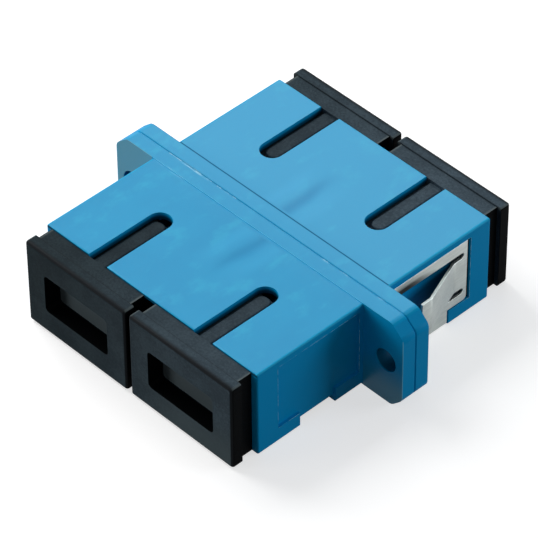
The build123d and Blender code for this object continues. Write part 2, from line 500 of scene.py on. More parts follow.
@dataclass(frozen=True)
class HousingPlastic:
    """Blue moulded plastic, glossy on its flat top and on the front faces of the flange.

    Its colours hold painted reflections on those faces, painted highlights on edges and steps, and painted
    shade in corners and recesses.

    A fade is a pair of distances past a feature, in millimetres: where a shade is gone and is full.
    """

    top: MouldedTop = MouldedTop()
    scuffs: Scuffs = Scuffs()
    side_colour: tuple = srgb(4, 147, 203)
    # Painted reflection: the flange's front faces, all of the left one and the foot of the right one, are
    # paler
    ear_reflection_colour: tuple = srgb(44, 146, 172)
    # Painted highlight on the upright edges at the ends of the flange
    wear_and_highlight_colour: tuple = srgb(96, 178, 210)
    # Painted highlight on the low step up to the flange, at the front
    step_highlight_colour: tuple = srgb(84, 196, 240)
    # Painted highlight on the upper part of the body's rounded long edges
    edge_highlight_colour: tuple = srgb(50, 176, 220)
    # Painted shadow line along the top just behind the flange
    corner_shade_colour: tuple = srgb(4, 92, 134)
    # Painted shade in the slots, the hollow, the screw holes, the end's upper rim and on the seat's floor
    shade_colour: tuple = srgb(2, 14, 22)
    ior: float = 1.12
    roughness: float = 0.42
    rough_patches: tuple = (Pattern(7.0, 3.0, 0.6), 0.12)
    scuff_roughness: float = 0.25
    gloss: tuple = (0.36, 0.56)
    gloss_y: tuple = (-4.0, 4.0)
    sunk_gloss: float = 0.75
    ear_gloss: float = 0.9
    gloss_roughness: float = 0.32
    grain: tuple = ((Pattern(22.0, 2.0, 0.6), 0.6), (Pattern(5.0), 0.4))
    grain_depth: float = 0.0025
    sink_depth: float = 0.05
    top_fade: tuple = (-0.14, -0.04)
    flat_fade: tuple = (-0.02, -0.005)
    corner_width: float = 0.13
    corner_strength: float = 1.8
    rim_fade: tuple = (-0.14, -0.08)
    rim_start: tuple = (-0.04, 0.02)
    rim_share: float = 0.6
    step_end: tuple = (0.2, 0.0)
    step_share: float = 0.5
    ear_fade: float = 0.1
    ear_foot: tuple = (0.5, -3.5)
    foot_share: float = 0.8
    end_highlight_fade: tuple = (-0.09, -0.05)
    end_highlight_share: float = 0.8
    seat_y: tuple = (0.0, 0.1)
    seat_shades: tuple = (((2.5, 8.0), 0.75), ((8.4, 9.2), 0.25))
    slot_z: tuple = ((4.38, 3.95), (3.0, 3.1))
    slot_share: float = 0.8
    hole_fade: tuple = (-0.02, -0.2)
    hole_share: float = 0.7
    mouth_fades: tuple = ((-0.3, -0.2), (0.0, -0.08))
    mouth_share: float = 0.8

    def material(self) -> bpy.types.Material:
        """Builds the housing's material."""
        shader = Shader("housing_plastic")
        on_top = shader.z.past(SIZES.top_z, *self.top_fade)
        # Painted shadow: a line along the top just behind the flange, where the coat is left off too
        corner = (shader.y - self.corner_width / 2).bell(SIZES.flange_y, self.corner_width) * on_top
        corner = (corner * self.corner_strength).smallest(1.0)
        scuff, ear = self.scuffs.share(shader) * on_top, self.ear_reflection(shader)
        colour = shader.painted(
            self.side_colour,
            (on_top, self.top.shades(shader)),
            # Painted reflection on the flange's front faces
            (ear, self.ear_reflection_colour),
            # Painted shadow line behind the flange
            (corner, self.corner_shade_colour),
            # Painted highlight on the front step
            (self.front_step_highlight(shader), self.step_highlight_colour),
            # Painted highlight on the rounded long edges
            (self.long_edge_highlight(shader), self.edge_highlight_colour),
            (scuff, self.scuffs.colour),
            # Painted highlight on the flange's upright end edges
            (self.ear_edge_highlight(shader), self.wear_and_highlight_colour),
            # Painted shade on the seat's floor behind the clip and in the recesses
            (self.shade_behind_clip(shader).largest(self.shade_in_recess(shader)), self.shade_colour))
        sunk = self.top.sunk(shader)
        normal = shader.bump(shader.blend(*self.grain), self.grain_depth,
                             shader.bump(1.0 - sunk, self.sink_depth))
        roughness = shader.uneven(self.roughness, self.rough_patches) + scuff * self.scuff_roughness
        front, rear = self.gloss
        gloss = (shader.y.step(*self.gloss_y) * (rear - front) + front) * self.flat_top(shader)
        gloss = gloss * (1.0 - corner) * (1.0 - sunk * (1.0 - self.sunk_gloss))
        return shader.finish(Base_Color=colour, Roughness=roughness, Normal=normal, IOR=self.ior,
                             Coat_Weight=gloss.largest(ear * self.ear_gloss),
                             Coat_Roughness=self.gloss_roughness)

    def flat_top(self, shader: Shader) -> Signal:
        """1 on the flat top of the body and flange, short of the body's rounded long edges."""
        inside = shader.far_x.past(SIZES.flat_x, 0.0, -2 * HAIR)
        on_flange = shader.far_y.past(SIZES.flange_y, 0.0, -HAIR)
        return shader.z.past(SIZES.top_z, *self.flat_fade) * inside.largest(on_flange)

    def long_edge_highlight(self, shader: Shader) -> Signal:
        """How strong the painted highlight on the upper part of the body's rounded long edges is."""
        rim = shader.far_x.past(SIZES.flat_x, *self.rim_start)
        rim = rim * shader.far_y.past(SIZES.flange_y, 0.0, 2 * HAIR)
        return rim * shader.z.past(SIZES.top_z, *self.rim_fade) * self.rim_share

    def front_step_highlight(self, shader: Shader) -> Signal:
        """How strong the painted highlight on the low step from the body's top up to the flange's is, at the
        front.
        """
        step = shader.z.past(SIZES.top_z, -HAIR, 0.0) * shader.far_x.past(SIZES.flat_x, *self.step_end)
        return step * shader.y.near(-SIZES.flange_y) * self.step_share

    def ear_reflection(self, shader: Shader) -> Signal:
        """How much painted reflection the flange's front faces get: all of the left one, and the foot of the
        right one.
        """
        left = shader.x.past(-SIZES.side_x, 0.0, -self.ear_fade)
        right = shader.x.past(SIZES.side_x, 0.0, self.ear_fade)
        foot = shader.z.step(*self.ear_foot) * self.foot_share
        return shader.y.near(-SIZES.flange_y) * (left + right * foot)

    def ear_edge_highlight(self, shader: Shader) -> Signal:
        """How strong the painted highlight on the upright edges at the ends of the flange is."""
        end = shader.far_x.past(SIZES.flange_x, *self.end_highlight_fade)
        return end * shader.far_y.past(SIZES.flange_y, *self.end_highlight_fade) * self.end_highlight_share

    def shade_behind_clip(self, shader: Shader) -> Signal:
        """How much painted shade the floor of the clip's seat gets, more so towards its far end."""
        floor = shader.far_x.near(SIZES.seat_x) * shader.y.step(*self.seat_y)
        floor = floor * shader.z.past(SIZES.seat_top, 2 * HAIR, 0.0)
        shade = 0.0
        for places, share in self.seat_shades:
            shade = shader.y.step(*places) * share + shade
        return floor * shade

    def shade_in_recess(self, shader: Shader) -> Signal:
        """The painted shade on the walls of the key slots, the hollow, the screw holes and the end's upper
        rim.
        """
        below, above = self.slot_z
        slot = from_port(shader).upto(SIZES.slot_half) * shader.far_y.beyond(SIZES.slot_end)
        slot = slot * shader.z.step(*below) * shader.z.step(*above)
        half_x, half_z = SIZES.core_half
        core = shader.far_x.upto(half_x) * shader.far_z.upto(half_z)
        core = core * shader.far_y.beyond(SIZES.end_y - SIZES.core_depth)
        from_axis = ((shader.far_x - SIZES.screw_x) ** 2.0 + shader.far_z ** 2.0) ** 0.5
        hole = from_axis.upto(SIZES.screw_radius) * shader.far_y.past(SIZES.flange_y, *self.hole_fade)
        mouth = shader.far_y.beyond(SIZES.end_y)
        for fade in self.mouth_fades:
            mouth = mouth * shader.z.past(SIZES.top_z, *fade)
        dark = core.largest(slot * self.slot_share).largest(hole * self.hole_share)
        return dark.largest(mouth * self.mouth_share)


@dataclass(frozen=True)
class CapPlastic:
    """Black moulded plastic with a fine spark-eroded grain.

    It is grey on its flats, paler towards the right and the rear. Painted shade makes it black on the sides
    and on the walls of the finger pocket, and darkens the rounding round the plate's face and the line behind
    the plate.
    The pocket's floor gets painted light, and the upper corners of the plate and collar get painted
    highlights.
    """

    colour: tuple = srgb(16, 29, 35)
    wear_and_highlight_colour: tuple = srgb(31, 44, 49)
    pale_colour: tuple = srgb(48, 61, 70)
    pale_worn: tuple = srgb(67, 82, 92)
    foot_colour: tuple = srgb(66, 78, 82)
    # Painted shade on the sides and on the walls of the finger pocket
    shade_colour: tuple = srgb(0, 1, 2)
    # Painted shade on the rounding round the plate's face and along the line behind the plate
    edge_shade_colour: tuple = srgb(10, 15, 19)
    # Painted highlights at the upper corners of the plate and collar
    tip_highlight_colour: tuple = srgb(100, 110, 110)
    # Painted light on the floor of the finger pocket
    pocket_light_colour: tuple = srgb(72, 82, 86)
    ior: float = 1.1
    speckle: Pattern = Pattern(4.6, 3.0, 0.7)
    patches: Pattern = Pattern(0.35, 4.0, 0.6)
    worn_shares: tuple = (0.55, 0.45)
    worn_levels: tuple = (0.38, 0.64)
    # Where the flats turn paler: towards the right and towards the rear
    pale_x: tuple = ((-12.0, 12.0), 0.7)
    pale_y: tuple = ((-4.0, 14.0), 0.4)
    roughness: float = 0.55
    roughness_spread: float = 0.25
    flat_gloss: float = 0.06
    gloss_roughness: float = 0.45
    grain: Pattern = Pattern(11.0, 3.0, 0.65)
    grain_depth: float = 0.006
    face_fade: tuple = (-0.03, -0.01)
    foot_z: tuple = (1.0, -4.0)
    foot_x: tuple = (0.0, 8.0)
    foot_share: float = 0.8
    round_fade: tuple = (-0.6, -0.12)
    rim_fade: tuple = (-0.004, -0.03)
    line_half: tuple = (0.1, 0.03)
    line_z: tuple = (4.2, 4.3)
    line_share: float = 0.5
    tip_fade: tuple = (-0.3, -0.05)
    tip_z: tuple = (4.1, 4.3)
    tip_end: tuple = (-0.1, -0.3)
    tip_share: float = 0.6
    floor_half: tuple = (0.02, 0.01)
    floor_fade: tuple = (0.02, 0.0)
    wall_foot: tuple = (0.02, 0.1)
    wall_head: tuple = (0.0, -0.05)
    wall_fade: tuple = (0.1, 0.02)

    def material(self) -> bpy.types.Material:
        """Builds the caps' material."""
        shader = Shader("cap_plastic")
        worn = shader.blend(*zip((self.speckle, self.patches), self.worn_shares)).step(*self.worn_levels)
        (along_x, x_share), (along_y, y_share) = self.pale_x, self.pale_y
        paleness = shader.x.step(*along_x) * x_share + shader.y.step(*along_y) * y_share
        # Painted shade: the sides and the walls of the finger pocket turn black
        dark = self.sides(shader).largest(self.pocket_walls(shader))
        colour = shader.painted(
            shader.mixed(paleness, self.colour, self.pale_colour),
            (worn, shader.mixed(paleness, self.wear_and_highlight_colour, self.pale_worn)),
            (self.foot(shader), self.foot_colour),
            # Painted shade round the plate's face and behind the plate
            (self.edge(shader), self.edge_shade_colour),
            # Painted light on the pocket's floor
            (self.pocket_floor_light(shader), self.pocket_light_colour),
            # Painted highlights at the upper corners
            (self.corner_highlights(shader), self.tip_highlight_colour),
            (dark, self.shade_colour))
        return shader.finish(Base_Color=colour, IOR=self.ior,
                             Normal=shader.bump(shader.noise(self.grain), self.grain_depth),
                             Roughness=shader.uneven(self.roughness, (self.speckle, self.roughness_spread)),
                             Coat_Weight=(1.0 - dark) * self.flat_gloss, Coat_Roughness=self.gloss_roughness)

    def foot(self, shader: Shader) -> Signal:
        """How pale the foot of the plate's face is, on the right."""
        face = shader.far_y.past(SIZES.cap_y, *self.face_fade)
        return face * shader.z.step(*self.foot_z) * shader.x.step(*self.foot_x) * self.foot_share

    def edge(self, shader: Shader) -> Signal:
        """How strong the painted shade on the rounding round the plate's face and in the line behind the
        plate is.
        """
        away, face = shader.far_y, SIZES.cap_y
        rounding = away.past(face, *self.round_fade) * away.past(face, *self.rim_fade)
        line = away.near(SIZES.plate_y, *self.line_half) * shader.far_z.step(*self.line_z)
        return rounding.largest(line * self.line_share)

    def corner_highlights(self, shader: Shader) -> Signal:
        """How strong the painted highlights at the upper corners of the plate and collar are."""
        half = shader.far_y.past(SIZES.plate_y, -HAIR, HAIR) * (SIZES.plate_half - SIZES.collar_half)
        corner = (from_port(shader) - half).past(SIZES.collar_half, *self.tip_fade)
        behind = shader.far_y.past(SIZES.cap_y, *self.tip_end)
        return corner * shader.z.step(*self.tip_z) * behind * self.tip_share

    def sides(self, shader: Shader) -> Signal:
        """1 on the sides of the plate and collar, which get painted shade."""
        plate, across = shader.far_y.past(SIZES.plate_y, -HAIR, HAIR), from_port(shader)
        return plate * across.beyond(SIZES.plate_half) + (1.0 - plate) * across.beyond(SIZES.collar_half)

    def pocket_floor_light(self, shader: Shader) -> Signal:
        """1 on the floor of the finger pocket, which gets painted light."""
        half_x, half_z = SIZES.pocket_half
        floor = from_port(shader).past(half_x, *self.floor_fade) * shader.far_z.past(half_z, *self.floor_fade)
        return floor * shader.far_y.near(SIZES.pocket_y, *self.floor_half)

    def pocket_walls(self, shader: Shader) -> Signal:
        """1 on the walls of the finger pocket, which get painted shade."""
        half_x, half_z = SIZES.pocket_half
        walls = from_port(shader).past(half_x, *self.wall_fade) * shader.far_z.past(half_z, *self.wall_fade)
        walls = walls * shader.far_y.past(SIZES.pocket_y, *self.wall_foot)
        return walls * shader.far_y.past(SIZES.cap_y, *self.wall_head)


@dataclass(frozen=True)
class SpringSheet:
    """Cold rolled spring sheet, with fine lines along the roll and a painted dark reflection beside the
    flange.
    """

    colour: tuple = srgb(214, 220, 216)
    dull_colour: tuple = srgb(198, 205, 202)
    # Painted reflection: a dark patch on the strip beside the flange
    reflection_colour: tuple = srgb(48, 42, 28)
    reflection_x: tuple = (13.0, 12.8)
    reflection_y: tuple = (6.8, 3.4)
    reflection_z: tuple = ((3.35, 3.0), (2.1, 2.2))
    reflection_share: float = 0.9
    lines: Pattern = Pattern(9.0, 3.0, 0.7, (1.0, 0.06, 1.0))
    clouds: Pattern = Pattern(0.6, 3.0, 0.6)
    dull_shares: tuple = (0.6, 0.4)
    dull_levels: tuple = (0.36, 0.64)
    roughness: float = 0.4
    roughness_spreads: tuple = (0.08, 0.04)
    line_depth: float = 0.0008

    def material(self) -> bpy.types.Material:
        """Builds the clip's material."""
        shader = Shader("spring_sheet")
        patterns = self.lines, self.clouds
        bright = shader.blend(*zip(patterns, self.dull_shares)).step(*self.dull_levels)
        below, above = self.reflection_z
        # Painted dark reflection beside the flange
        dark_reflection = shader.z.step(*below) * shader.z.step(*above) * shader.y.step(*self.reflection_y)
        dark_reflection = dark_reflection * shader.far_x.step(*self.reflection_x) * self.reflection_share
        colour = shader.mixed(bright, self.dull_colour, self.colour)
        return shader.finish(Base_Color=shader.mixed(dark_reflection, colour, self.reflection_colour), Metallic=1.0,
                             Roughness=shader.uneven(self.roughness, *zip(patterns, self.roughness_spreads)),
                             Normal=shader.bump(shader.noise(self.lines), self.line_depth))


@dataclass(frozen=True)
class PlainFinish:
    """A material of two colours that clouds mix, with one pattern on its surface.

    Args:
        name: The material's name.
        colours: The colour where the clouds are thin, and where they are thick.
        clouds: The clouds.
        levels: The levels of the clouds that give the first colour and the second.
        relief: The surface's pattern.
        depth: How far the relief stands out, in millimetres.
        roughness: The plain roughness.
        patches: What raises and lowers the roughness, and by how much in all.
        ior: The index of refraction.
    """

    name: str
    colours: tuple
    clouds: Pattern
    levels: tuple
    relief: Pattern
    depth: float
    roughness: float
    patches: tuple
    ior: float

    def material(self) -> bpy.types.Material:
        """Builds the material."""
        shader = Shader(self.name)
        colour = shader.mixed(shader.noise(self.clouds).step(*self.levels), *self.colours)
        return shader.finish(Base_Color=colour, IOR=self.ior,
                             Roughness=shader.uneven(self.roughness, self.patches),
                             Normal=shader.bump(shader.noise(self.relief), self.depth))


def insert_plastic() -> PlainFinish:
    """The unseen inserts' plastic: the housing's colour, moulded finer and duller."""
    return PlainFinish("insert_plastic", (srgb(12, 105, 155), srgb(18, 120, 170)),
                       clouds=Pattern(0.5, 3.0), levels=(0.35, 0.65), relief=Pattern(16.0), depth=0.003,
                       roughness=0.48, patches=(Pattern(6.0), 0.1), ior=1.45)


def sleeve_ceramic() -> PlainFinish:
    """White ground ceramic, with faint grinding rings round the tube."""
    rings = Pattern(12.0, 2.0, 0.6, (0.05, 1.0, 0.05))
    return PlainFinish("sleeve_ceramic", (srgb(226, 226, 219), srgb(240, 240, 234)),
                       clouds=Pattern(0.8), levels=(0.35, 0.65), relief=rings, depth=0.0008,
                       roughness=0.16, patches=(rings, 0.08), ior=1.9)


def flash_plastic(name: str, colour: tuple, pale_colour: tuple) -> PlainFinish:
    """Thin flash at a weld or a mould's parting line: the housing's plastic, stretched pale.

    Args:
        name: The material's name.
        colour: The colour where the plastic is thick.
        pale_colour: The colour where it is stretched.

    Returns:
        The finish.
    """
    patches = Pattern(1.6, 3.0, 0.6)
    return PlainFinish(name, (colour, pale_colour), clouds=patches, levels=(0.4, 0.62),
                       relief=Pattern(12.0), depth=0.01, roughness=0.45, patches=(patches, 0.1), ior=1.12)


@dataclass(frozen=True)
class Crisp:
    """Edges that are rounded less than others, by where their middles are, in millimetres.

    Args:
        from_weld: How far they are from the weld, along Y.
        share: The share of the full rounding that they get.
        above: The height that they lie above.
    """

    from_weld: float
    share: float
    above: float = -math.inf


@dataclass(frozen=True)
class Softened:
    """Shows a CAD node by a copy of it whose sharp edges are rounded.

    Args:
        width: How far from an edge the rounding starts, in millimetres.
        turn: The least angle, in degrees, that counts as a sharp edge.
        steps: How many faces a rounding has across.
        crisp: The edges that are rounded less.
        merge: How close two corners are, in millimetres, to become one.
        flat_turn: The largest angle, in degrees, between faces that become one.
        near: How close an edge's middle is to a crisp place, in millimetres.
    """

    width: float
    turn: float = 35.0
    steps: int = 3
    crisp: tuple[Crisp, ...] = ()
    merge: float = 0.0002
    flat_turn: float = 0.6
    near: float = 0.03

    def copy_of(self, node: str, name: str, material: bpy.types.Material,
                cutters: Sequence[bpy.types.Object] = ()) -> bpy.types.Object:
        """Makes the piece that stands for a node.

        Args:
            node: The CAD node.
            name: The new piece's name.
            material: Its finish.
            cutters: Closed meshes that are cut out of it first, and are deleted then.

        Returns:
            The piece, as a plain mesh in the node's place.
        """
        piece = add_object(name, self.cleaned(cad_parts[node].data, name))
        for cutter in cutters:
            cut = piece.modifiers.new(cutter.name, "BOOLEAN")
            cut.operation, cut.solver, cut.object = "DIFFERENCE", "EXACT", cutter
        if cutters:
            bake(piece)
            piece.data = self.cleaned(piece.data, name)
        for cutter in cutters:
            bpy.data.objects.remove(cutter)
        bevel = piece.modifiers.new("edges", "BEVEL")
        bevel.width = self.width * MM
        bevel.segments = self.steps
        bevel.limit_method = "WEIGHT"
        bevel.miter_outer = "MITER_ARC"
        bevel.harden_normals = True
        bake(piece)
        piece.data.materials.clear()
        piece.data.materials.append(material)
        return piece

    def cleaned(self, source: bpy.types.Mesh, name: str) -> bpy.types.Mesh:
        """A copy of a mesh with flat faces in one piece, and the sharp edges' shares as bevel weights."""
        shell = bmesh.new()
        shell.from_mesh(source)
        bmesh.ops.remove_doubles(shell, verts=shell.verts, dist=self.merge * MM)
        bmesh.ops.dissolve_limit(shell, angle_limit=math.radians(self.flat_turn), verts=shell.verts,
                                 edges=shell.edges, use_dissolve_boundaries=False, delimit=set())
        weights = shell.edges.layers.float.new("bevel_weight_edge")
        for edge in shell.edges:
            sharp = edge.is_manifold and edge.calc_face_angle() > math.radians(self.turn)
            edge[weights] = self.share((edge.verts[0].co + edge.verts[1].co) / 2 / MM) if sharp else 0.0
        mesh = bpy.data.meshes.new(name)
        shell.to_mesh(mesh)
        shell.free()
        return mesh

    def share(self, middle: Vector) -> float:
        """The share of the full width that an edge gets, by the place of its middle in millimetres."""
        for edges in self.crisp:
            if middle.z > edges.above and abs(abs(middle.y) - edges.from_weld) < self.near:
                return edges.share
        return 1.0


def add_object(name: str, mesh: bpy.types.Mesh) -> bpy.types.Object:
    """Links a mesh into the scene as an object at the origin."""
    piece = bpy.data.objects.new(name, mesh)
    bpy.context.scene.collection.objects.link(piece)
    return piece


def bake(piece: bpy.types.Object) -> None:
    """Turns a piece's modifiers into plain mesh and removes them."""
    graph = bpy.context.evaluated_depsgraph_get()
    mesh = bpy.data.meshes.new_from_object(piece.evaluated_get(graph))
    piece.modifiers.clear()
    piece.data = mesh


def place(piece: bpy.types.Object, body: str, slot: str, *nodes: str) -> None:
    """Seats a finished piece on its body and reports it.

    Args:
        piece: The finished piece.
        body: The body that it rides on.
        slot: A material slot's name, which is not used.
        nodes: The CAD nodes that it stands for.
    """
    if nodes:
        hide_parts(*nodes)
    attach(piece, body)
    LOG.info("%s: %d faces on %s", piece.name, len(piece.data.polygons), body)


def polylines(name: str, paths: Sequence[Sequence[Vector]]) -> bpy.types.Object:
    """An object of edges only, which Geometry Nodes follow as paths.

    Args:
        name: The object's name.
        paths: The corners of each path, in metres.

    Returns:
        The object.
    """
    corners: list[tuple] = []
    pairs: list[tuple[int, int]] = []
    for path in paths:
        start = len(corners)
        corners += [tuple(corner) for corner in path]
        pairs += [(start + i, start + i + 1) for i in range(len(path) - 1)]
    mesh = bpy.data.meshes.new(name)
    mesh.from_pydata(corners, pairs, [])
    return add_object(name, mesh)


class Recipe(Tree):
    """A Geometry Nodes tree with named inputs, made in the script.

    Args:
        name: The tree's name.
    """

    def __init__(self, name: str) -> None:
        """Makes the tree with its geometry input and output."""
        group = bpy.data.node_groups.new(name, "GeometryNodeTree")
        group.interface.new_socket("Geometry", in_out="INPUT", socket_type="NodeSocketGeometry")
        group.interface.new_socket("Geometry", in_out="OUTPUT", socket_type="NodeSocketGeometry")
        super().__init__(group)
        self.group = group
        self.entry = self.node("NodeGroupInput")
        self.identifiers: dict[str, str] = {}

    @property
    def source(self) -> bpy.types.NodeSocket:
        """The geometry that comes in."""
        return self.entry.outputs["Geometry"]

    def size(self, name: str, kind: str = "NodeSocketFloat") -> bpy.types.NodeSocket:
        """Adds a named input and returns its socket inside the tree."""
        made = self.group.interface.new_socket(name, in_out="INPUT", socket_type=kind)
        self.identifiers[name] = made.identifier
        return self.entry.outputs[name]

    def close(self, geometry: bpy.types.NodeSocket, material: bpy.types.NodeSocket) -> None:
        """Ends the tree: instances become real, and get the material."""
        real = self.output("GeometryNodeRealizeInstances", {"Geometry": geometry})
        dressed = self.output("GeometryNodeSetMaterial", {"Geometry": real, "Material": material})
        self.node("NodeGroupOutput", {"Geometry": dressed})

    def circle(self, sides: int, radius: bpy.types.NodeSocket) -> bpy.types.NodeSocket:
        """A circle, as a curve."""
        return self.output("GeometryNodeCurvePrimitiveCircle", {"Resolution": sides, "Radius": radius})

    def tube(self, path: bpy.types.NodeSocket, sides: int,
             radius: bpy.types.NodeSocket) -> bpy.types.NodeSocket:
        """A smooth tube along a curve."""
        tube = self.output("GeometryNodeCurveToMesh", {
            "Curve": path, "Profile Curve": self.circle(sides, radius), "Fill Caps": True})
        return self.output("GeometryNodeSetShadeSmooth", {"Geometry": tube})

    def run(self, piece: bpy.types.Object, values: dict[str, object]) -> None:
        """Runs the tree on a piece and leaves a plain mesh.

        Args:
            piece: The object that it works on.
            values: The named inputs' values.
        """
        modifier = piece.modifiers.new(self.group.name, "NODES")
        modifier.node_group = self.group
        for name, value in values.items():
            modifier[self.identifiers[name]] = value
        bake(piece)


class FlashRecipe(Recipe):
    """A bead of flash along a path: hair thin, and swollen where plastic was squeezed out."""

    drift_detail = 3.0
    lump_detail = 4.0
    lump_levels = (0.5, 0.68)
    sides = 8

    def __init__(self) -> None:
        """Builds the tree."""
        super().__init__("flash_bead")
        spacing, radius = self.size("Spacing"), self.size("Radius")
        swell, wander = self.size("Swell"), self.size("Wander")
        noise = {"Scale": self.size("Lumps"), "W": self.size("Seed")}
        with_seed = {"noise_dimensions": "4D"}
        material = self.size("Material", "NodeSocketMaterial")
        path = self.output("GeometryNodeMeshToCurve", {"Mesh": self.source})
        even = self.output("GeometryNodeResampleCurve", {"Curve": path, "Length": spacing},
                           {"mode": "LENGTH"})
        drift = self.output("ShaderNodeTexNoise", {**noise, "Detail": self.drift_detail}, with_seed, "Color")
        centred = self.output("ShaderNodeVectorMath", {0: drift, 1: (MIDDLE, MIDDLE, MIDDLE)},
                              {"operation": "SUBTRACT"})
        offset = self.output("ShaderNodeVectorMath", {0: centred, "Scale": wander}, {"operation": "SCALE"})
        moved = self.output("GeometryNodeSetPosition", {"Geometry": even, "Offset": offset})
        lumps = self.number("ShaderNodeTexNoise", {**noise, "Detail": self.lump_detail}, with_seed)
        thickness = 1.0 + lumps.step(*self.lump_levels) * Signal(self, swell)
        sized = self.output("GeometryNodeSetCurveRadius", {"Curve": moved, "Radius": thickness})
        self.close(self.tube(sized, self.sides, radius), material)


class PinMarkRecipe(Recipe):
    """The round witness mark of an ejector pin, repeated at each vertex of the mesh that comes in."""

    ring_sides = 48
    wire_sides = 6

    def __init__(self) -> None:
        """Builds the tree."""
        super().__init__("pin_marks")
        radius, height = self.size("Radius"), self.size("Height")
        material = self.size("Material", "NodeSocketMaterial")
        points = self.output("GeometryNodeMeshToPoints", {"Mesh": self.source})
        mark = self.tube(self.circle(self.ring_sides, radius), self.wire_sides, height)
        marks = self.output("GeometryNodeInstanceOnPoints", {"Points": points, "Instance": mark})
        self.close(marks, material)


@dataclass(frozen=True)
class Bead:
    """A thread of flash, with its sizes in millimetres.

    Args:
        radius: Its radius where it is thin.
        swell: How much thicker its lumps are, as a share of the radius.
        wander: How far it strays from its path.
        lumps: How many lumps a metre holds.
        spacing: How far apart its rings are.
    """

    radius: float
    swell: float
    wander: float
    lumps: float
    spacing: float = 0.1

    def lay(self, name: str, paths: Sequence[Sequence[Vector]], seed: float,
            material: bpy.types.Material) -> bpy.types.Object:
        """Makes the thread.

        Args:
            name: The new piece's name.
            paths: The corners of each path, in metres.
            seed: Which stretch of the noise it takes.
            material: Its finish.

        Returns:
            The piece.
        """
        piece = polylines(name, paths)
        FlashRecipe().run(piece, {
            "Spacing": self.spacing * MM, "Radius": self.radius * MM, "Swell": self.swell,
            "Wander": self.wander * MM, "Lumps": self.lumps, "Seed": seed, "Material": material})
        return piece


